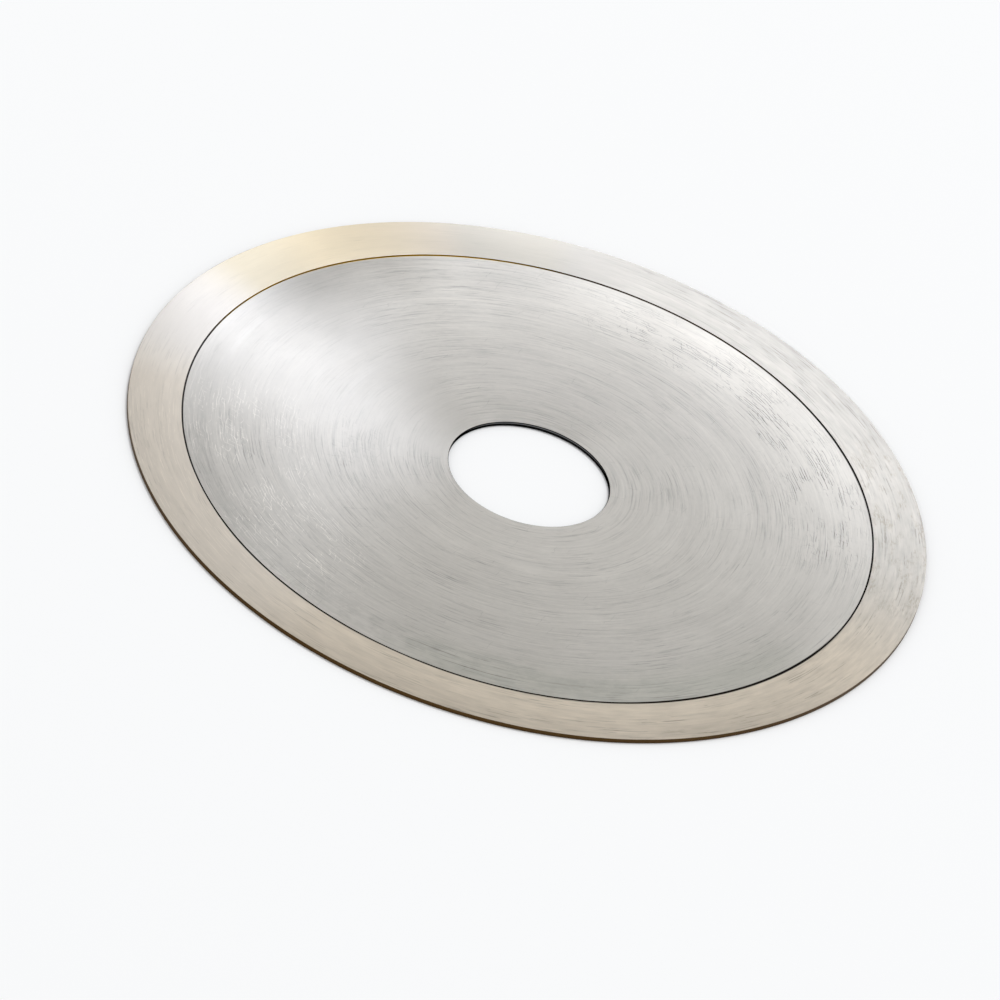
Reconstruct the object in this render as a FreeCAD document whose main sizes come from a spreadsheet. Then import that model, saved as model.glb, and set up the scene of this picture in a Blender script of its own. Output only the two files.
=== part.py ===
import FreeCAD, Part
import math
import os
import Sketcher

# Electroplated diamond blade, in millimetres: a thin flat steel disc whose rim carries nickel-bonded
# diamond grit over both faces and round the edge, with no slots or teeth.
# The origin is the centre of the bore at mid-thickness, and +Z is the axis of the arbor.

SIZES = (
    ("blade_diameter", 110.0, "over the plated rim"),
    ("bore_diameter", 22.23, "arbor hole"),
    ("core_thickness", 0.65, "steel from face to face"),
    ("bore_chamfer", 0.05, "edge break at both mouths of the bore"),
    ("band_width", 7.32, "plated band on each face, from its inner edge to the rim"),
    ("groove_width", 0.22, "open groove between the steel's shoulder and the plated band"),
    ("seat_depth", 0.11, "how far the plating's seat is turned down on each face"),
    ("plating_thickness", 0.13, "bonded grit, on each face and on the edge"),
    ("rim_corner_radius", 0.08, "rounding of the plating where a face turns into the edge"),
)

# Radii and half thicknesses that the pieces share, as formulas of the sheet's values
BORE_RADIUS = "Sizes.bore_diameter / 2"
BLADE_RADIUS = "Sizes.blade_diameter / 2"
SEAT_RADIUS = f"{BLADE_RADIUS} - Sizes.plating_thickness"
BAND_RADIUS = f"{BLADE_RADIUS} - Sizes.band_width"
SHOULDER_RADIUS = f"{BAND_RADIUS} - Sizes.groove_width"
SEAT_HALF = "Sizes.core_thickness / 2 - Sizes.seat_depth"
BAND_HALF = f"{SEAT_HALF} + Sizes.plating_thickness"

# Points of a sketched edge, and the sketch's own horizontal axis and origin
START, END, CENTRE = 1, 2, 3
HORIZONTAL_AXIS = -1
ORIGIN = (HORIZONTAL_AXIS, START)


def make_sheet(doc):
    """The driving sizes, one row each: name, value and what it measures."""
    sheet = doc.addObject("Spreadsheet::Sheet", "Sizes")
    for row, (alias, value, meaning) in enumerate(SIZES, start=1):
        sheet.set(f"A{row}", alias)
        sheet.set(f"B{row}", str(value))
        sheet.setAlias(f"B{row}", alias)
        sheet.set(f"C{row}", meaning)
    doc.recompute()
    return sheet


def new_body(doc, label):
    body = doc.addObject("PartDesign::Body", label)
    body.Label = label
    body.Placement = FreeCAD.Placement()
    return body


def origin_plane(body, role):
    return next(item for item in body.Origin.OriginFeatures if item.Role == role)


def new_sketch(body, name, role):
    sketch = body.newObject("Sketcher::SketchObject", name)
    sketch.AttachmentSupport = (origin_plane(body, role), [""])
    sketch.MapMode = "FlatFace"
    return sketch


def add_dimension(sketch, name, formula, kind, *references):
    """A named dimension that follows a formula of the sheet."""
    value = float(sketch.evalExpression(formula))
    index = sketch.addConstraint(Sketcher.Constraint(kind, *references, value))
    sketch.renameConstraint(index, name)
    sketch.setExpression(f"Constraints.{name}", formula)


def add_circle(sketch, name, formula):
    """A circle about the blade's axis."""
    radius = float(sketch.evalExpression(formula))
    circle = sketch.addGeometry(Part.Circle(FreeCAD.Vector(), FreeCAD.Vector(0, 0, 1), radius))
    sketch.addConstraint(Sketcher.Constraint("Coincident", circle, CENTRE, *ORIGIN))
    add_dimension(sketch, name, formula, "Radius", circle)


def add_line(sketch, start, end, direction=None):
    """A straight edge between two (radius, height) points, kept Horizontal or Vertical if asked."""
    line = sketch.addGeometry(Part.LineSegment(FreeCAD.Vector(*start), FreeCAD.Vector(*end)))
    if direction:
        sketch.addConstraint(Sketcher.Constraint(direction, line))
    return line


def close_chain(sketch, edges):
    """Join the end of each edge to the start of the next, all the way round."""
    for edge, following in zip(edges, edges[1:] + edges[:1]):
        rounded = {type(sketch.Geometry[item]) for item in (edge, following)} != {Part.LineSegment}
        sketch.addConstraint(
            Sketcher.Constraint("Tangent" if rounded else "Coincident", edge, END, following, START))


def add_rectangle(sketch, inner, outer, low, high):
    """A rectangle beside the axis, from radius inner to outer and from height low to high."""
    x0, x1, y0, y1 = (float(sketch.evalExpression(formula)) for formula in (inner, outer, low, high))
    bottom = add_line(sketch, (x0, y0), (x1, y0), "Horizontal")
    outside = add_line(sketch, (x1, y0), (x1, y1), "Vertical")
    top = add_line(sketch, (x1, y1), (x0, y1), "Horizontal")
    inside = add_line(sketch, (x0, y1), (x0, y0), "Vertical")
    close_chain(sketch, [bottom, outside, top, inside])
    add_dimension(sketch, "inner_radius", inner, "DistanceX", *ORIGIN, bottom, START)
    add_dimension(sketch, "outer_radius", outer, "DistanceX", *ORIGIN, bottom, END)
    add_dimension(sketch, "low_height", low, "DistanceY", *ORIGIN, bottom, START)
    add_dimension(sketch, "high_height", high, "DistanceY", *ORIGIN, top, START)


def cut_seat(body, blank):
    """The step that the plating sits on, turned down on the top face and mirrored to the other."""
    section = new_sketch(body, "seat_section", "XZ_Plane")
    add_rectangle(section, SHOULDER_RADIUS, BLADE_RADIUS, SEAT_HALF, "Sizes.core_thickness")
    seat = body.newObject("PartDesign::Groove", "seat")
    seat.Profile = section
    seat.ReferenceAxis = (section, ["V_Axis"])
    seat.Angle = 360
    both_seats = body.newObject("PartDesign::Mirrored", "both_seats")
    both_seats.Originals = [seat]
    both_seats.MirrorPlane = (origin_plane(body, "XY_Plane"), [""])
    body.Tip = both_seats
    body.Document.recompute()
    if both_seats.Shape.Volume > blank.Shape.Volume * (1 - 1e-6):
        raise RuntimeError("the seat of the plating cuts nothing")
    return both_seats


def break_bore_edges(body, base):
    """Small chamfers at the two mouths of the bore."""
    bore_radius = float(base.evalExpression(BORE_RADIUS))
    mouths = [
        f"Edge{number}" for number, edge in enumerate(base.Shape.Edges, start=1)
        if isinstance(edge.Curve, Part.Circle) and math.isclose(edge.Curve.Radius, bore_radius)
    ]
    chamfers = body.newObject("PartDesign::Chamfer", "bore_chamfers")
    chamfers.Base = (base, mouths)
    chamfers.setExpression("Size", "Sizes.bore_chamfer")


def make_steel_core(doc):
    """The blank: a flat ring of hard steel sheet, bored for the arbor and stepped at the rim."""
    body = new_body(doc, "steel_core")
    outline = new_sketch(body, "blank_outline", "XY_Plane")
    add_circle(outline, "seat_radius", SEAT_RADIUS)
    add_circle(outline, "bore_radius", BORE_RADIUS)
    blank = body.newObject("PartDesign::Pad", "blank")
    blank.Profile = outline
    blank.SideType = "Symmetric"
    blank.setExpression("Length", "Sizes.core_thickness")
    doc.recompute()
    both_seats = cut_seat(body, blank)
    break_bore_edges(body, both_seats)
    return body


def add_rim_section(sketch):
    """The plating's section, a U lying on its side that wraps the edge of the steel."""
    outer, inner, seat = (
        float(sketch.evalExpression(formula)) for formula in (BLADE_RADIUS, BAND_RADIUS, SEAT_RADIUS))
    half, seat_half, corner = (
        float(sketch.evalExpression(formula))
        for formula in (BAND_HALF, SEAT_HALF, "Sizes.rim_corner_radius"))

    def add_corner(side):
        # The lower corner, side -1, turns from -90 degrees to 0, and the upper, side 1, from 0 to 90
        centre = FreeCAD.Vector(outer - corner, side * (half - corner))
        circle = Part.Circle(centre, FreeCAD.Vector(0, 0, 1), corner)
        first, last = sorted((0, side * math.pi / 2))
        return sketch.addGeometry(Part.ArcOfCircle(circle, first, last))

    lower_face = add_line(sketch, (inner, -half), (outer - corner, -half), "Horizontal")
    lower_corner = add_corner(-1)
    edge_face = add_line(sketch, (outer, corner - half), (outer, half - corner))
    upper_corner = add_corner(1)
    upper_face = add_line(sketch, (outer - corner, half), (inner, half), "Horizontal")
    upper_end = add_line(sketch, (inner, half), (inner, seat_half), "Vertical")
    upper_seat = add_line(sketch, (inner, seat_half), (seat, seat_half), "Horizontal")
    inner_wall = add_line(sketch, (seat, seat_half), (seat, -seat_half))
    lower_seat = add_line(sketch, (seat, -seat_half), (inner, -seat_half), "Horizontal")
    lower_end = add_line(sketch, (inner, -seat_half), (inner, -half), "Vertical")
    close_chain(sketch, [
        lower_face, lower_corner, edge_face, upper_corner, upper_face,
        upper_end, upper_seat, inner_wall, lower_seat, lower_end])

    mirrored_points = (
        (edge_face, START, edge_face, END),
        (inner_wall, START, inner_wall, END),
        (lower_face, START, upper_face, END))
    for points in mirrored_points:
        sketch.addConstraint(Sketcher.Constraint("Symmetric", *points, HORIZONTAL_AXIS))
    add_dimension(sketch, "blade_radius", BLADE_RADIUS, "DistanceX", *ORIGIN, edge_face, START)
    add_dimension(sketch, "band_radius", BAND_RADIUS, "DistanceX", *ORIGIN, upper_face, END)
    add_dimension(sketch, "seat_radius", SEAT_RADIUS, "DistanceX", *ORIGIN, inner_wall, START)
    add_dimension(sketch, "band_half", BAND_HALF, "DistanceY", *ORIGIN, upper_face, END)
    add_dimension(sketch, "seat_half", SEAT_HALF, "DistanceY", *ORIGIN, inner_wall, START)
    add_dimension(sketch, "corner_radius", "Sizes.rim_corner_radius", "Radius", upper_corner)


def make_diamond_rim(doc):
    """The plated band: it sits on both seats and covers the edge, a little proud of the steel."""
    body = new_body(doc, "diamond_rim")
    section = new_sketch(body, "rim_section", "XZ_Plane")
    add_rim_section(section)
    rim = body.newObject("PartDesign::Revolution", "rim")
    rim.Profile = section
    rim.ReferenceAxis = (section, ["V_Axis"])
    rim.Angle = 360
    return body


def check_model(doc, bodies):
    for item in doc.Objects:
        if "Invalid" in item.State or "Error" in item.State:
            raise RuntimeError(f"{item.Label} failed to build: {item.State}")
        if item.TypeId == "Sketcher::SketchObject" and not item.FullyConstrained:
            raise RuntimeError(f"{item.Label} has a size that nothing sets")
    for body in bodies:
        if body.Shape.isNull() or not body.Shape.isValid() or len(body.Shape.Solids) != 1:
            raise RuntimeError(f"{body.Label} is not one valid solid")


def main():
    doc = FreeCAD.newDocument("diamond_blade")
    make_sheet(doc)
    bodies = [make_steel_core(doc), make_diamond_rim(doc)]
    doc.recompute()
    check_model(doc, bodies)
    os.makedirs("parts", exist_ok=True)
    for body in bodies:
        body.Shape.exportStep(f"parts/{body.Label}.step")
        print(f"{body.Label}: {body.Shape.Volume:.3f} cubic mm")


main()
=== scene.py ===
import math
import random

import bpy
from mathutils import Matrix, Vector


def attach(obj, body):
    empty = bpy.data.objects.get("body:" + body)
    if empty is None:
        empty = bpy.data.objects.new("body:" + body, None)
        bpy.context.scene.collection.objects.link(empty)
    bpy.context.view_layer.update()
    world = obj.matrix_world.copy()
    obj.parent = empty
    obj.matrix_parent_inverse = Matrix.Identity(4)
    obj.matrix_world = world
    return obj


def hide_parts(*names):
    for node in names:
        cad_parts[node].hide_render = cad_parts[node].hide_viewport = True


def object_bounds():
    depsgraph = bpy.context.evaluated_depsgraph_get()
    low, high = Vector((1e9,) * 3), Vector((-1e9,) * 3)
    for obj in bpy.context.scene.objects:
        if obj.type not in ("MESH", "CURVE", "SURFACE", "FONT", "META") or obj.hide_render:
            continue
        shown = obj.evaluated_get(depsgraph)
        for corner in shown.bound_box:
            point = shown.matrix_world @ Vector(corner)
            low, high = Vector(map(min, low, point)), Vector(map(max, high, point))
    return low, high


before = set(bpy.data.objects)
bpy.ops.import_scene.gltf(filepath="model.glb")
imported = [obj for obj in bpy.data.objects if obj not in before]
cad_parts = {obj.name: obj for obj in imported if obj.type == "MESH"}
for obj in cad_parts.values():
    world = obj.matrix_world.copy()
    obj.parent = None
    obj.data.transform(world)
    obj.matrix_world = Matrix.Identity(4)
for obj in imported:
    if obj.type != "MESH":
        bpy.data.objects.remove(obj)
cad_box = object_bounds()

# An electroplated diamond blade lying on a pale floor, in metres, in the frame of the CAD model:
# the blade's axis is Z and its mid-plane is Z = 0. Bearings round it are in degrees: 0 is the right
# of the photograph, 90 the far side, 180 the left and 270 the near side.

MM = 0.001
SAME = 2e-6              # two CAD sizes closer than this are one size
SEGMENTS = 480           # round each turned piece
SHARP_ANGLE = math.radians(30)


# Sizes read from the CAD nodes

def section_points(node):
    """(radius, height) of every corner of a turned CAD node."""
    return [(math.hypot(v.co.x, v.co.y), v.co.z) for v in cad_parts[node].data.vertices]


def radii_at(points, height):
    return [radius for radius, z in points if abs(z - height) < SAME]


core_points = section_points("steel_core")
rim_points = section_points("diamond_rim")
core_half = max(z for _, z in core_points)
bore_radius = min(radius for radius, _ in core_points)
mouth_radius = min(radii_at(core_points, core_half))
shoulder_radius = max(radii_at(core_points, core_half))
seat_radius = max(radius for radius, _ in core_points)
seat_half = max(z for radius, z in core_points if radius > shoulder_radius + SAME)
rim_half = max(z for _, z in rim_points)
band_radius = min(radius for radius, _ in rim_points)
blade_radius = min(cad_box[1].x, cad_box[1].y, -cad_box[0].x, -cad_box[0].y)
rim_corner = blade_radius - max(radii_at(rim_points, rim_half))


# Camera: the photograph's long lens, looking down on the disc, rolled so that the disc's long
# axis falls to the right

PHOTO_WIDTH = 1000                       # pixels
DISC_CENTRE_PIXEL = (529.2, 473.88)      # of the photograph, where the bore's centre is
CAMERA_ELEVATION = math.radians(35.9)    # above the plane of the disc
CAMERA_ROLL = math.radians(16.81)
CAMERA_DISTANCE = 1.521                  # metres
CAMERA_LENS = 409.0                      # millimetres
CAMERA_SENSOR = 36.0                     # millimetres
CAMERA_REACH = (0.1, 50)                 # metres, nearest and farthest that it sees


def make_camera():
    tilt = math.pi / 2 - CAMERA_ELEVATION
    cos_roll, sin_roll = math.cos(CAMERA_ROLL), math.sin(CAMERA_ROLL)
    right = Vector((cos_roll, sin_roll * math.cos(tilt), sin_roll * math.sin(tilt)))
    up = Vector((-sin_roll, cos_roll * math.cos(tilt), cos_roll * math.sin(tilt)))
    forward = Vector((0, math.sin(tilt), -math.cos(tilt)))
    data = bpy.data.cameras.new("camera")
    data.lens = CAMERA_LENS
    data.sensor_width = CAMERA_SENSOR
    data.clip_start, data.clip_end = CAMERA_REACH
    camera = bpy.data.objects.new("camera", data)
    bpy.context.scene.collection.objects.link(camera)
    metres_per_pixel = CAMERA_DISTANCE * CAMERA_SENSOR / CAMERA_LENS / PHOTO_WIDTH
    across, down = ((pixel - PHOTO_WIDTH / 2) * metres_per_pixel for pixel in DISC_CENTRE_PIXEL)
    place = Vector((0, 0, rim_half)) - right * across + up * down - forward * CAMERA_DISTANCE
    axes = Matrix((right, up, -forward)).transposed()
    camera.matrix_world = Matrix.Translation(place) @ axes.to_4x4()
    bpy.context.scene.camera = camera


# Turned pieces

def lathe(name, rings, materials):
    """A closed ring turned from its section, taken anticlockwise: radius, height and the number
    of the material that covers the strip up to the next ring."""
    angles = [2 * math.pi * turn / SEGMENTS for turn in range(SEGMENTS)]
    vertices = [(radius * math.cos(angle), radius * math.sin(angle), height)
                for radius, height, _ in rings for angle in angles]
    faces, covers = [], []
    for index, (_, _, cover) in enumerate(rings):
        here = index * SEGMENTS
        there = (index + 1) % len(rings) * SEGMENTS
        for turn in range(SEGMENTS):
            after = (turn + 1) % SEGMENTS
            faces.append((here + turn, here + after, there + after, there + turn))
            covers.append(cover)
    mesh = bpy.data.meshes.new(name)
    mesh.from_pydata(vertices, [], faces)
    mesh.polygons.foreach_set("material_index", covers)
    mesh.polygons.foreach_set("use_smooth", [True] * len(faces))
    mesh.set_sharp_from_angle(angle=SHARP_ANGLE)
    for material in materials:
        mesh.materials.append(material)
    mesh.validate()
    piece = bpy.data.objects.new(name, mesh)
    bpy.context.scene.collection.objects.link(piece)
    return piece


def mirrored(upper):
    """The whole section from its upper half, which is listed outwards. Going back along the upper
    half, the strip after a ring is the one that came before it on the way out."""
    lower = [(radius, -height, cover) for radius, height, cover in upper]
    earlier = [upper[0]] + upper[:-1]
    back = [(radius, height, cover)
            for (radius, height, _), (_, _, cover) in zip(upper, earlier)]
    return lower + back[::-1]


FACE, WALL, GROOVE = range(3)    # the materials of a piece, the last also where the two meet
EDGE_BREAK = 0.015 * MM      # softened corner of the steel and of the plating's inner edge
SUPPORT = 0.03 * MM          # flat strip beside a softened corner, so that the face shades flat
MARK_PITCH = (0.30 * MM, 0.62 * MM)
MARK_DEPTH = 0.002 * MM
MARK_SEED = 11


def turning_marks(inner, outer, height, draw):
    """Rings of a face that rise and fall by up to two microns, as the grinding left them."""
    rings = []
    radius = inner + draw.uniform(*MARK_PITCH)
    while radius < outer - MARK_PITCH[1]:
        rings.append((radius, height - draw.uniform(0, MARK_DEPTH), FACE))
        radius += draw.uniform(*MARK_PITCH)
    return rings


def core_section():
    draw = random.Random(MARK_SEED)
    first, last = mouth_radius + EDGE_BREAK, shoulder_radius - EDGE_BREAK
    face = turning_marks(first + SUPPORT, last - SUPPORT, core_half, draw)
    chamfer = mouth_radius - bore_radius
    return mirrored(
        [(bore_radius, core_half - chamfer, WALL),
         (mouth_radius - EDGE_BREAK, core_half - EDGE_BREAK, WALL),
         (first, core_half, FACE),
         (first + SUPPORT, core_half, FACE)]
        + face
        + [(last - SUPPORT, core_half, FACE),
           (last, core_half, GROOVE),
           (shoulder_radius, core_half - EDGE_BREAK, GROOVE),
           (shoulder_radius, seat_half, GROOVE),
           (seat_radius, seat_half, GROOVE)])


CORNER_STEPS = 6
CORNER_WALL_STEP = 4         # where the colour of the edge takes over from that of the face


def rim_section():
    corner = []
    for step in range(CORNER_STEPS + 1):
        angle = math.pi / 2 * step / CORNER_STEPS
        corner.append((blade_radius - rim_corner + rim_corner * math.sin(angle),
                       rim_half - rim_corner + rim_corner * math.cos(angle),
                       WALL if step >= CORNER_WALL_STEP else FACE))
    return mirrored(
        [(seat_radius, seat_half, GROOVE),
         (band_radius, seat_half, GROOVE),
         (band_radius, rim_half - EDGE_BREAK, GROOVE),
         (band_radius + EDGE_BREAK, rim_half, FACE),
         (band_radius + SUPPORT, rim_half, FACE),
         (blade_radius - rim_corner - SUPPORT, rim_half, FACE)]
        + corner)


# Materials

class Graph:
    """Adds and links the shader nodes of one material."""

    def __init__(self, name):
        self.material = bpy.data.materials.new(name)
        self.material.use_nodes = True
        self.tree = self.material.node_tree
        self.tree.nodes.clear()

    def feed(self, socket, value):
        if isinstance(value, bpy.types.NodeSocket):
            self.tree.links.new(value, socket)
        else:
            socket.default_value = value

    def node(self, kind, inputs=None, **settings):
        node = self.tree.nodes.new(kind)
        for key, value in settings.items():
            setattr(node, key, value)
        for key, value in (inputs or {}).items():
            self.feed(node.inputs[key], value)
        return node

    def math(self, operation, *values):
        node = self.node("ShaderNodeMath", dict(enumerate(values)), operation=operation)
        return node.outputs[0]

    def times(self, first, *others):
        """The product of the values."""
        for other in others:
            first = self.math("MULTIPLY", first, other)
        return first

    def vector(self, operation, *values):
        node = self.node("ShaderNodeVectorMath", dict(enumerate(values)), operation=operation)
        return node.outputs["Value" if operation in ("LENGTH", "DOT_PRODUCT") else "Vector"]

    def ramp(self, value, low, high, to_low=0.0, to_high=1.0):
        """A smooth step of value from low to high."""
        inputs = {"Value": value, "From Min": low, "From Max": high,
                  "To Min": to_low, "To Max": to_high}
        node = self.node("ShaderNodeMapRange", inputs, interpolation_type="SMOOTHSTEP")
        return node.outputs[0]

    def mix(self, factor, first, second):
        node = self.node("ShaderNodeMix", data_type="RGBA")
        self.feed(node.inputs[0], factor)
        self.feed(node.inputs[6], first)
        self.feed(node.inputs[7], second)
        return node.outputs[2]

    def total(self, parts, start=0.0):
        """The sum of the parts, each a value, its middle and its weight."""
        for value, middle, weight in parts:
            change = self.times(self.math("SUBTRACT", value, middle), weight)
            start = self.math("ADD", start, change)
        return start

    def toned(self, colour, parts):
        """A colour made lighter or darker by the parts."""
        return self.vector("MULTIPLY", colour, self.grey(self.total(parts, 1.0)))

    def grey(self, tone):
        return self.node("ShaderNodeCombineXYZ", {"X": tone, "Y": tone, "Z": tone}).outputs[0]

    def tinted(self, colour, tints):
        """A colour with other colours laid over it, each a factor and a colour."""
        for factor, tint in tints:
            colour = self.mix(factor, colour, tint + (1,))
        return colour

    def noise(self, place, detail=2.0, roughness=0.55):
        inputs = {"Vector": place, "Scale": 1.0, "Detail": detail, "Roughness": roughness}
        return self.node("ShaderNodeTexNoise", inputs).outputs["Fac"]

    def surface(self, inputs):
        """The material, ended with a principled shader of these inputs."""
        shader = self.node("ShaderNodeBsdfPrincipled", inputs)
        self.node("ShaderNodeOutputMaterial", {"Surface": shader.outputs[0]})
        return self.material


ALONG_UNIT = 35.0            # millimetres
FACE_SHIFT = 300.0           # keeps the pattern of one face off the other
TRACKS_A_FACE = 400
TRACK_SHIFT = 7.31           # between the breaks of neighbouring tracks
BREAK_LEVEL = 0.5            # of the noise along a track, above which half of it is marked
BREAK_SPREAD = 0.30          # how the level falls as the share of marked length grows
BREAK_EDGE = (-0.02, 0.04)   # off that level, where a mark starts and where it is full


class Polar:
    """A point of the disc: its radius and place in millimetres and its bearing, a unit vector."""

    def __init__(self, graph):
        self.graph = graph
        place = graph.node("ShaderNodeTexCoord").outputs["Object"]
        self.flat = graph.vector("MULTIPLY", place, (1 / MM, 1 / MM, 0))
        self.radius = graph.vector("LENGTH", self.flat)
        self.bearing = graph.vector("NORMALIZE", self.flat)
        height = graph.node("ShaderNodeSeparateXYZ", {"Vector": place}).outputs["Z"]
        self.height = graph.math("DIVIDE", height, MM)
        self.face = graph.math("GREATER_THAN", self.height, 0.0)

    def streaks(self, along, across, seed, detail=2.0, roughness=0.55):
        """Noise drawn out round the disc: along cells per ALONG_UNIT, across cells per
        millimetre."""
        graph = self.graph
        outwards = graph.times(self.radius, across)
        outwards = graph.math("MULTIPLY_ADD", self.face, FACE_SHIFT, outwards)
        outwards = graph.node("ShaderNodeCombineXYZ", {"X": seed, "Z": outwards}).outputs[0]
        place = graph.vector("ADD", self.around(along), outwards)
        return graph.noise(place, detail=detail, roughness=roughness)

    def around(self, along):
        """The place on the disc, in cells of which there are so many per ALONG_UNIT."""
        cells = along / ALONG_UNIT
        return self.graph.vector("MULTIPLY", self.flat, (cells, cells, 0))

    def arcs(self, spacing, width, along, share, seed, sway):
        """Thin arcs round the disc."""
        return self.tracks(self.radius, spacing, width, along, share, seed, sway)

    def lines(self, direction, spacing, width, along, share, seed, sway):
        """Thin straight marks across the disc, running in a direction in degrees."""
        angle = math.radians(direction)
        across = (-math.sin(angle), math.cos(angle), 0)
        off_line = self.graph.vector("DOT_PRODUCT", self.flat, across)
        return self.tracks(off_line, spacing, width, along, share, seed, sway)

    def tracks(self, across, spacing, width, along, share, seed, sway):
        """Thin marks, one track to each spacing in millimetres. They cover about the given share
        of it, broken along it at that many cells per ALONG_UNIT. Sway moves the tracks."""
        graph = self.graph
        track = graph.math("DIVIDE", graph.math("ADD", across, sway), spacing)
        number = graph.times(self.face, TRACKS_A_FACE)
        number = graph.math("ADD", graph.math("FLOOR", track), number)
        dice = graph.node("ShaderNodeTexWhiteNoise", {"W": graph.math("ADD", number, seed)},
                          noise_dimensions="1D").outputs["Value"]
        middle = graph.math("MULTIPLY_ADD", dice, 0.5, 0.25)    # in the middle half of its track
        off_line = graph.math("SUBTRACT", graph.math("FRACT", track), middle)
        off_line = graph.math("ABSOLUTE", off_line)
        profile = graph.ramp(off_line, 0.0, width / spacing, 1.0, 0.0)
        apart = graph.times(number, TRACK_SHIFT)
        apart = graph.node("ShaderNodeCombineXYZ", {"Z": apart}).outputs[0]
        breaks = graph.noise(graph.vector("ADD", self.around(along), apart))
        level = BREAK_LEVEL + BREAK_SPREAD * (0.5 - share)
        return graph.times(profile, graph.ramp(breaks, *(level + edge for edge in BREAK_EDGE)))

    def sway(self, along, across, seed, reach):
        """How far, in millimetres, tracks are moved in and out, changing along and across."""
        noise = self.streaks(along, across, seed)
        return self.graph.times(self.graph.math("SUBTRACT", noise, 0.5), reach)

    def patches(self, along, across, seed, low, high, detail=2.0):
        """Patches drawn out round the disc, from 0 where the noise is low to 1 where it is high."""
        return self.graph.ramp(self.streaks(along, across, seed, detail), low, high)

    def sector(self, bearing, inner, outer):
        """1 round a bearing in degrees, falling to 0 between the inner and outer angles off it."""
        angle = math.radians(bearing)
        middle = (math.cos(angle), math.sin(angle), 0)
        along = self.graph.vector("DOT_PRODUCT", self.bearing, middle)
        low, high = (math.cos(math.radians(off)) for off in (outer, inner))
        return self.graph.ramp(along, low, high)

    def between(self, low, high, blur):
        """1 from one radius to another, in millimetres."""
        rise = self.graph.ramp(self.radius, low - blur, low + blur)
        fall = self.graph.ramp(self.radius, high - blur, high + blur, 1.0, 0.0)
        return self.graph.times(rise, fall)

    def beyond(self, low, high):
        """0 inside the radius low and 1 outside the radius high, in millimetres."""
        return self.graph.ramp(self.radius, low, high)

    def within(self, low, high):
        """1 inside the radius low and 0 outside the radius high, in millimetres."""
        return self.graph.ramp(self.radius, low, high, 1.0, 0.0)


QUARTER_TURN = 0.25          # turns the stretch of the sheen across the brushing
GRAIN_EDGE = (0.47, 0.28)    # of the fine noise, where the dark grain starts and where it is full


def metal(graph, colour, roughness, normal=None, anisotropy=0.0, edge_tint=1.0):
    """A metal. An edge tint below 1 takes the white off its grazing reflections."""
    inputs = {"Base Color": colour, "Metallic": 1.0, "Roughness": roughness,
              "Specular Tint": (edge_tint, edge_tint, edge_tint, 1)}
    if normal is not None:
        inputs["Normal"] = normal
    if anisotropy:
        tangent = graph.node("ShaderNodeTangent", direction_type="RADIAL", axis="Z")
        inputs.update({"Anisotropic": anisotropy, "Anisotropic Rotation": QUARTER_TURN,
                       "Tangent": tangent.outputs[0]})
    return graph.surface(inputs)


def relief(graph, height, depth):
    """A bump of a depth in millimetres."""
    inputs = {"Height": height, "Strength": 1.0, "Distance": depth * MM}
    return graph.node("ShaderNodeBump", inputs).outputs[0]


# Colours of the painted shade in the groove, and of the painted light and reflection on its walls
DARK_BRONZE = (0.012, 0.006, 0.001)
LIT_GREY_BRONZE = (0.10, 0.09, 0.08)
DIM_GOLD_REFLECTION = (0.05, 0.025, 0.001)
WARM_GOLD_REFLECTION = (0.60, 0.35, 0.01)


def painted_groove_shade(graph, polar):
    """Painted shade in the groove and at its edges: dark bronze, with a painted golden reflection
    at the far side and painted light, greyer, at the left."""
    return graph.tinted(DARK_BRONZE + (1,), (
        (polar.sector(186, 12, 26), LIT_GREY_BRONZE),
        (polar.sector(86, 24, 46), DIM_GOLD_REFLECTION),
        (polar.sector(130, 12, 40), WARM_GOLD_REFLECTION)))


STEEL = (0.49, 0.465, 0.415)
# a darker, warmer copy of the steel, painted shade for the near side
SHADED_NEAR_STEEL = (0.435, 0.42, 0.365)
STEEL_ROUGHNESS = 0.42
STEEL_ANISOTROPY = 0.58
STEEL_RELIEF = 0.003     # millimetres
SHOULDER_SHADE_REACH = (-0.17, -0.06)    # millimetres, where the painted shade starts before the shoulder and is full


def steel_brushing(graph, polar, fine, rings):
    """How much lighter or darker the brushing is: grain and thin arcs in drifts."""
    grain = graph.ramp(fine, *GRAIN_EDGE)
    hairs = graph.ramp(polar.streaks(7, 8.5, 44.5), 0.45, 0.28)
    drifts = polar.patches(3.5, 0.20, 17.3, 0.38, 0.62, detail=3)
    drifts = graph.math("MULTIPLY_ADD", drifts, 0.70, 0.30)
    speckle = polar.streaks(45, 2.4, 63.0)
    sway = polar.sway(4, 0.1, 51.0, 0.5)
    long_arcs = polar.arcs(1.15, 0.10, 2.0, 0.26, 12.9, sway)
    short_arcs = polar.arcs(0.52, 0.085, 6, 0.28, 18.4, sway)
    light_arcs = polar.arcs(0.61, 0.09, 3.5, 0.25, 26.2, sway)
    dark = graph.total((
        (grain, 0.0, -0.24), (hairs, 0.0, -0.20),
        (short_arcs, 0.0, -0.26), (long_arcs, 0.0, -0.28)))
    return graph.total((
        (graph.times(dark, drifts), -0.08, 1.0), (fine, 0.5, 0.18), (speckle, 0.5, 0.13),
        (rings, 0.5, 0.30), (light_arcs, 0.0, 0.08)))


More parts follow.
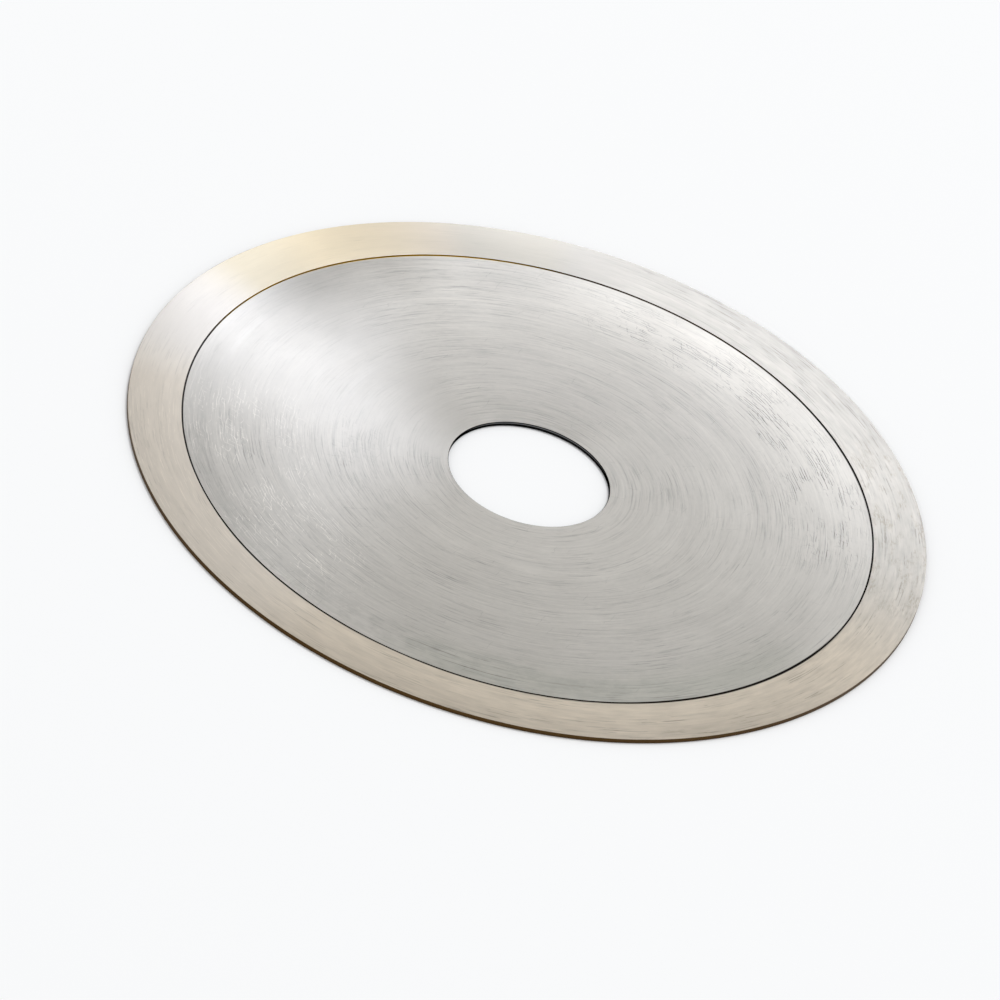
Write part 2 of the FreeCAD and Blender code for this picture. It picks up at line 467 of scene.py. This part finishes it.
def steel_scuffs(graph, polar, drag, scribble):
    """Clusters of fine dark scuffs at the far right, and faint ones further in at the left."""
    outer = graph.times(polar.sector(46, 26, 58), polar.between(37, 46, 4))
    inner = graph.times(polar.sector(203, 14, 32), polar.between(19, 30, 4), 0.28)
    zone = graph.times(graph.math("MAXIMUM", outer, inner),
                       polar.patches(7, 0.28, 29.9, 0.44, 0.57, detail=4))
    marks = graph.total((
        (polar.arcs(0.42, 0.075, 9, 0.60, 57.1, drag), 0.0, 1.2),
        (polar.lines(110, 0.75, 0.08, 26, 0.36, 63.7, scribble), 0.0, 0.7),
        (polar.lines(162, 0.85, 0.08, 26, 0.36, 67.3, scribble), 0.0, 0.7)))
    return graph.times(marks, zone)


def steel_scratches(graph, polar, drag, scribble):
    """Fine pale scratches at the near left."""
    zone = graph.times(polar.sector(212, 18, 40), polar.between(32, 47, 5),
                       polar.patches(5, 0.20, 83.1, 0.40, 0.56, detail=3))
    marks = graph.total((
        (polar.arcs(0.42, 0.07, 8, 0.50, 37.7, drag), 0.0, 1.0),
        (polar.lines(96, 0.80, 0.07, 24, 0.40, 39.2, scribble), 0.0, 0.9),
        (polar.lines(152, 0.90, 0.07, 24, 0.40, 43.6, scribble), 0.0, 0.9)))
    return graph.times(marks, zone)


def steel_strays(graph, polar, scribble):
    """A few long marks across the whole face."""
    return graph.math("ADD", polar.lines(25, 1.90, 0.07, 14, 0.16, 91.4, scribble),
                      polar.lines(70, 2.30, 0.07, 14, 0.16, 93.8, scribble))


def painted_steel_light_and_shade(graph, polar):
    """Painted light and shade: broad zones painted a little lighter or darker than the rest, as
    parts of the tone. There is a painted highlight on the fan, painted shade at its edges, beside
    it and in the far middle, and painted light near the bore, at the far right and in a strip at
    bearing 121.
    """
    near_bore = graph.times(polar.sector(284, 50, 90), polar.within(13, 40))
    far_right = graph.math("MULTIPLY_ADD", polar.sector(38, 8, 22), 0.4, polar.sector(74, 8, 28))
    far_right = graph.times(far_right, polar.between(39, 50, 5))
    beside_fan = graph.math("ADD", polar.sector(95, 20, 36), polar.sector(212, 12, 32))
    beside_fan = graph.times(beside_fan, polar.within(15, 29))
    far_middle = graph.times(polar.sector(32, 18, 38), polar.between(17, 36, 4))
    fan_edges = graph.math("ADD", polar.sector(200, 16, 34), polar.sector(148, 4, 12))
    fan_edges = graph.math("MULTIPLY_ADD", polar.sector(112, 18, 36), 0.55, fan_edges)
    fan_edges = graph.times(fan_edges, polar.beyond(38, 46))
    fan = graph.times(polar.sector(170, 8, 24), polar.beyond(18, 36))
    painted_light_strip = graph.times(polar.sector(121, 4, 16), polar.beyond(24, 36))
    return (
        (near_bore, 0.0, 0.07), (far_right, 0.0, 0.20), (beside_fan, 0.0, -0.07),
        (fan_edges, 0.0, -0.095), (fan, 0.0, 0.07), (far_middle, 0.0, -0.035), (painted_light_strip, 0.0, 0.08))


def make_steel_face():
    """Steel brushed in circles and scuffed here and there, calmest at the far left."""
    graph = Graph("brushed_steel_face")
    polar = Polar(graph)
    fine = polar.streaks(6, 4.2, 1.3, detail=3, roughness=0.65)
    rings = polar.streaks(1.0, 1.5, 4.1, detail=3)
    broad = polar.streaks(0.6, 0.25, 7.7, detail=1)
    clouds = polar.streaks(5, 0.25, 9.2, detail=3)
    drag = polar.sway(7, 0.25, 31.0, 1.0)
    scribble = polar.sway(12, 0.30, 35.0, 1.6)

    calm = graph.math("MULTIPLY_ADD", polar.sector(162, 14, 34), -0.70, 1.0)
    calm = graph.total(
        ((polar.sector(40, 30, 60), 0.0, -0.15), (polar.sector(338, 14, 30), 0.0, -0.25)), calm)
    brushing = graph.total((
        (steel_brushing(graph, polar, fine, rings), 0.0, 1.0),
        (steel_strays(graph, polar, scribble), 0.0, -0.16)))
    brushing = graph.times(brushing, calm)
    tarnish = graph.times(polar.sector(268, 22, 44), polar.between(42, 47, 2.5),
                          polar.patches(14, 0.3, 71.3, 0.40, 0.62, detail=4))

    # Painted shade: the near outer face is mixed towards a darker, warmer steel.
    near_shade = graph.times(polar.sector(295, 28, 44), polar.beyond(38, 46))
    # The tone's last parts are painted light and shade by bearing, from the function above.
    colour = graph.toned(graph.tinted(STEEL + (1,), ((near_shade, SHADED_NEAR_STEEL),)), (
        (brushing, 0.0, 1.0), (broad, 0.5, 0.12), (clouds, 0.5, 0.18), (tarnish, 0.0, -0.11),
        (steel_scuffs(graph, polar, drag, scribble), 0.0, -0.64),
        (steel_scratches(graph, polar, drag, scribble), 0.0, 0.42)) + painted_steel_light_and_shade(graph, polar))
    # Painted shade: the steel before the shoulder darkens into the groove's colour at the far and
    # near right, widening the groove's shaded line.
    start, full = (shoulder_radius / MM + off for off in SHOULDER_SHADE_REACH)
    shoulder_shade = graph.ramp(polar.radius, start, full, 0.0, 0.95)
    shaded_bearings = graph.math("MAXIMUM", polar.sector(80, 45, 70), polar.sector(318, 10, 26))
    colour = graph.mix(graph.times(shoulder_shade, shaded_bearings), colour, painted_groove_shade(graph, polar))

    roughness = graph.total(((rings, 0.5, 0.12),), STEEL_ROUGHNESS)
    return metal(graph, colour, roughness, relief(graph, fine, STEEL_RELIEF),
                 anisotropy=STEEL_ANISOTROPY)


BORE_GLINT_HEIGHT = 0.15           # millimetres above the middle of the wall, where the painted highlight runs
BORE_GLINT_BLUR = (0.03, 0.11)


def make_cut_wall():
    """The dark wall of the bore, with a painted highlight below the face on the far side."""
    graph = Graph("dark_cut_wall")
    polar = Polar(graph)
    stain = polar.streaks(10, 1.0, 3.3)
    off_line = graph.math("ABSOLUTE", graph.math("SUBTRACT", polar.height, BORE_GLINT_HEIGHT))
    # Painted highlight: a brighter line on the far side of the wall.
    line = graph.times(graph.ramp(off_line, *BORE_GLINT_BLUR, 1.0, 0.0), polar.sector(90, 30, 70))
    tone = graph.math("MULTIPLY_ADD", line, 0.15, graph.times(stain, 0.006))
    return metal(graph, graph.grey(tone), roughness=0.4, edge_tint=0.3)


# The plating's champagne, then lit and shaded copies of it that are laid on by bearing as painted
# light, shade, reflection and highlight
CHAMPAGNE = (0.585, 0.515, 0.41)
LIT_CHAMPAGNE = (0.62, 0.56, 0.47)
PALE_SHADED_PLATING = (0.46, 0.435, 0.385)
STRAW_SHADED_PLATING = (0.47, 0.44, 0.375)
GOLDEN_REFLECTION_PLATING = (0.81, 0.70, 0.50)
SHADED_GOLD_REFLECTION_PLATING = (0.585, 0.52, 0.39)
HIGHLIGHT_PLATING = (0.66, 0.62, 0.555)
BROWN_STAIN = (0.335, 0.30, 0.245)
PLATING_ROUGHNESS = 0.47
PLATING_ANISOTROPY = 0.25
PLATING_RELIEF = 0.002   # millimetres
LIP_SHADE_REACH = (0.15, 0.06)       # millimetres into the band, where the painted shade of its lip starts and is full


def plating_texture(graph, polar, fine):
    """How much lighter or darker the plating is: fine grain and thin arcs in drifts, stronger at
    the right, weaker at the left and faint on the bright stretch."""
    grain = graph.ramp(fine, *GRAIN_EDGE)
    drifts = polar.patches(4.8, 0.5, 17.3, 0.42, 0.64, detail=3)
    broad = polar.streaks(2.1, 0.9, 6.4, detail=3)
    clouds = polar.streaks(10, 1.2, 9.9, detail=3)
    sway = polar.sway(4, 0.1, 51.0, 0.6)
    arcs = polar.arcs(0.45, 0.10, 7.5, 0.40, 12.9, sway)
    light_arcs = polar.arcs(0.50, 0.08, 12, 0.40, 22.6, sway)
    left = polar.sector(212, 18, 34)
    rough = graph.total(((polar.sector(22, 34, 66), 0.0, 0.20), (left, 0.0, -0.50)), 1.0)
    calm = graph.math("MULTIPLY_ADD", polar.sector(135, 36, 60), -0.80, 1.0)
    dark = graph.times(graph.total(((grain, 0.0, -0.28), (arcs, 0.0, -0.32))), drifts)
    brushing = graph.total(((dark, -0.05, 1.0), (fine, 0.5, 0.26), (clouds, 0.5, 0.32)))
    brushing = graph.times(brushing, rough)
    texture = graph.times(graph.total(((brushing, 0.0, 1.0), (broad, 0.5, 0.20))), calm)
    return graph.total(((texture, 0.0, 1.0), (graph.times(light_arcs, left), 0.0, 0.13)))


def painted_plating_light_and_shade(graph, polar):
    """Painted light and shade: broad zones that are a little lighter or darker, and a change from
    the inside of the band to the outside: darker at the far right and the near side, paler at the
    far left."""
    dim = graph.math("MAXIMUM", polar.sector(55, 10, 26), polar.sector(326, 8, 36))
    outwards = graph.math("SUBTRACT", polar.beyond(49.5, 54.6), 0.5)
    outwards = graph.times(outwards, graph.total((
        (polar.sector(50, 20, 44), 0.0, -0.15), (polar.sector(280, 28, 62), 0.0, -0.12),
        (polar.sector(135, 25, 55), 0.0, 0.09))))
    return ((dim, 0.0, -0.08), (polar.sector(284, 26, 50), 0.0, -0.03),
            (polar.sector(14, 8, 20), 0.0, 0.03), (outwards, 0.0, 1.0))


def make_plating_face():
    """Satin champagne plating with painted light and shade by bearing: paler and darker over the
    far right, a painted golden reflection and a painted highlight at the far left, with brownish
    smudges at the right."""
    graph = Graph("champagne_plating")
    polar = Polar(graph)
    fine = polar.streaks(5.5, 3.6, 2.2, detail=3, roughness=0.65)
    smudge = graph.times(polar.patches(9, 0.7, 14.5, 0.44, 0.62, detail=4),
                         polar.sector(13, 12, 26))
    speckle = polar.streaks(40, 4.5, 47.0, detail=3, roughness=0.7)
    smudge = graph.times(smudge, graph.ramp(speckle, 0.60, 0.38, 0.05, 0.75))
    # Painted light and shade: lit, shaded, golden and highlight copies of the champagne laid over
    # it by bearing.
    colour = graph.tinted(CHAMPAGNE + (1,), (
        (polar.sector(203, 24, 46), LIT_CHAMPAGNE), (polar.sector(50, 42, 75), PALE_SHADED_PLATING),
        (polar.sector(103, 4, 11), STRAW_SHADED_PLATING), (polar.sector(148, 3, 36), GOLDEN_REFLECTION_PLATING),
        (polar.sector(157, 2, 23), SHADED_GOLD_REFLECTION_PLATING), (polar.sector(167, 2, 18), HIGHLIGHT_PLATING),
        (smudge, BROWN_STAIN)))
    texture = plating_texture(graph, polar, fine)
    colour = graph.toned(colour, ((texture, 0.0, 1.0),) + painted_plating_light_and_shade(graph, polar))

    # Painted shade: the band's inner lip darkens to dark bronze at the near side, widening the
    # groove's shaded line.
    start, full = (band_radius / MM + off for off in LIP_SHADE_REACH)
    lip_shade = graph.ramp(polar.radius, start, full, 0.0, 0.9)
    shaded_bearings = graph.math("MAXIMUM", polar.sector(300, 32, 48), polar.sector(238, 8, 24))
    colour = graph.tinted(colour, ((graph.times(lip_shade, shaded_bearings), DARK_BRONZE),))
    return metal(graph, colour, PLATING_ROUGHNESS, relief(graph, fine, PLATING_RELIEF),
                 anisotropy=PLATING_ANISOTROPY)


BRONZE = (0.086, 0.048, 0.017)


def make_plating_edge():
    """The bronze-brown cutting edge, grainy with grit."""
    graph = Graph("bronze_cutting_edge")
    mottle = Polar(graph).streaks(38, 2.0, 8.8, detail=3)
    return metal(graph, graph.toned(BRONZE, ((mottle, 0.5, 0.6),)), roughness=0.5)


FLOOR_SHADE = (0.01, 0.09)       # millimetres above the groove's floor, where the painted shade is darkest and where the colour is full


def make_groove_wall():
    """The walls and floor of the groove, with painted shade making the floor darker."""
    graph = Graph("bronze_groove")
    polar = Polar(graph)
    mottle = polar.streaks(25, 2.0, 5.8)
    low, high = (seat_half / MM + off for off in FLOOR_SHADE)
    above_floor = graph.ramp(graph.math("ABSOLUTE", polar.height), low, high)
    colour = graph.toned(
        painted_groove_shade(graph, polar), ((mottle, 0.5, 0.5), (above_floor, 1.0, 0.6)))
    return metal(graph, colour, roughness=0.4, edge_tint=0.4)


# Pieces

def make_pieces():
    groove_wall = make_groove_wall()
    core = lathe("steel_disc", core_section(),
                 [make_steel_face(), make_cut_wall(), groove_wall])
    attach(core, "root")
    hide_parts("steel_core")
    band = lathe("plated_band", rim_section(),
                 [make_plating_face(), make_plating_edge(), groove_wall])
    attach(band, "root")
    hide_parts("diamond_rim")


# Studio

FLOOR_COLOUR = (0.950, 0.958, 0.966, 1)
FLOOR_HALF = 4.0             # metres, half of a side
SURROUND = 0.62              # how bright the world is
WHITE = (1, 1, 1, 1)


def make_floor():
    mesh = bpy.data.meshes.new("floor")
    corners = [(x * FLOOR_HALF, y * FLOOR_HALF, -rim_half)
               for x, y in ((-1, -1), (1, -1), (1, 1), (-1, 1))]
    mesh.from_pydata(corners, [], [(0, 1, 2, 3)])
    mesh.materials.append(Graph("pale_floor").surface(
        {"Base Color": FLOOR_COLOUR, "Roughness": 0.9, "Specular IOR Level": 0.0}))
    floor = bpy.data.objects.new("floor", mesh)
    bpy.context.scene.collection.objects.link(floor)


def make_world():
    world = bpy.data.worlds.new("studio")
    bpy.context.scene.world = world
    world.use_nodes = True
    tree = world.node_tree
    tree.nodes.clear()
    background = tree.nodes.new("ShaderNodeBackground")
    background.inputs["Color"].default_value = WHITE
    background.inputs["Strength"].default_value = SURROUND
    output = tree.nodes.new("ShaderNodeOutputWorld")
    tree.links.new(background.outputs[0], output.inputs["Surface"])


def lamp(name, place, size, radiance, colour=(1, 1, 1), diffuse=True, glossy=True):
    """A rectangular lamp that faces the middle of the disc."""
    data = bpy.data.lights.new(name, "AREA")
    data.shape = "RECTANGLE"
    data.size, data.size_y = size
    data.energy = radiance * math.pi * size[0] * size[1]
    item = bpy.data.objects.new(name, data)
    bpy.context.scene.collection.objects.link(item)
    item.location = place
    item.rotation_mode = "QUATERNION"
    item.rotation_quaternion = Vector(place).to_track_quat("Z", "Y")
    item.visible_camera = False
    item.visible_diffuse = diffuse
    item.visible_glossy = glossy
    data.color = colour


KEY_PLACE = (0.9, 1.6, 4.6)      # metres
KEY_SIZE = (2.2, 2.2)            # metres
KEY_RADIANCE = 7.0
COOL = (0.94, 0.99, 1.13)
COOLER = (0.92, 0.985, 1.17)


def softbox(name, place, size, radiance, colour=COOL):
    """A lamp that only the metal reflects. Its place and size are in blade radii."""
    across, upwards = size
    lamp(name, Vector(place) * blade_radius, (across * blade_radius, upwards * blade_radius),
         radiance, colour, diffuse=False)


def make_lamps():
    """One broad key lights the floor, and softboxes round the disc draw the fan on the metal."""
    lamp("key", KEY_PLACE, KEY_SIZE, KEY_RADIANCE, glossy=False)
    softbox("fan_box", (-0.47, 0.75, 0.55), (0.3, 0.45), 2.0, COOLER)
    softbox("fan_spot", (-0.85, 0.95, 0.5), (0.3, 0.3), 3.6, COOLER)
    softbox("far_strip", (0.0, 2.0, 0.5), (1.0, 0.3), 5.8)
    softbox("right_strip", (1.05, 1.4, 0.5), (1.55, 0.3), 4.6)
    softbox("overhead", (0.75, 1.7, 2.8), (2.25, 2.75), 0.21)
    softbox("near_right_box", (0.7, -0.95, 0.55), (0.4, 0.4), 1.6)
    softbox("near_strip", (-0.3, -2.1, 0.6), (1.3, 0.3), 3.4)


make_camera()
make_pieces()
make_floor()
make_world()
make_lamps()
bpy.context.scene.view_settings.view_transform = "Standard"
